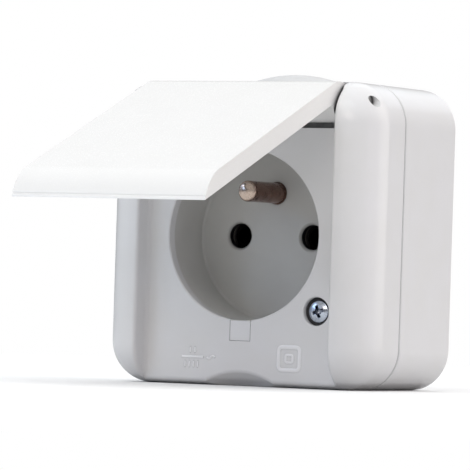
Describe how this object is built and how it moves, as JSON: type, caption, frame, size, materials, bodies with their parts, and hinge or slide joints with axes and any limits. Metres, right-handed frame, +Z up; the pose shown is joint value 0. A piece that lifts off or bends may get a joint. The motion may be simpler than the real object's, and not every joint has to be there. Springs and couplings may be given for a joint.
{
  "type": "outdoor weatherproof socket",
  "caption": "Surface-mounted splash-proof wall socket: square rounded box and cover with raised side jambs, a round well with pin holes and earth pin, and a hinged lid standing half open.",
  "frame": {"origin": "middle of the flat back face of the box, which lies on the wall", "axes": "+Y into the wall, so -Y is the way the well faces; +Z up; +X to the right as seen from the front"},
  "size_m": [0.0694, 0.0956, 0.0721],
  "materials": {
    "housing_plastic": "white moulded plastic, smooth",
    "well_plastic": "white moulded plastic, satin",
    "grommet_rubber": "light grey soft rubber",
    "seal_rubber": "dark seal rubber",
    "steel": "plain steel",
    "zinc_steel": "zinc plated",
    "pin_metal": "nickel plated brass, brownish",
    "brass": "plain brass",
    "carrier_plastic": "hard insulating plastic"
  },
  "bodies": {
    "housing": {"back_box": "housing_plastic", "front_cover": "housing_plastic", "socket_well": "well_plastic", "cable_grommet": "grommet_rubber", "cover_gasket": "seal_rubber", "screw_seals": "seal_rubber", "hinge_pin": "steel", "cover_screws": "zinc_steel", "carrier_screws": "zinc_steel", "terminal_screws": "zinc_steel", "line_clip_spring": "steel", "neutral_clip_spring": "steel", "earth_pin": "pin_metal", "earth_strap": "brass", "line_contact": "brass", "neutral_contact": "brass", "line_clamp": "brass", "neutral_clamp": "brass", "earth_clamp": "brass", "carrier_body": "carrier_plastic", "carrier_cap": "carrier_plastic"},
    "lid_body": {"lid": "housing_plastic", "lid_seal": "seal_rubber"}
  },
  "joints": [
    {"name": "lid_hinge", "type": "hinge", "parent": "housing", "child": "lid_body", "pos_m": [0, -0.0355, 0.03025], "axis": [-1, 0, 0], "range_deg": [-67, 43]}
  ]
}
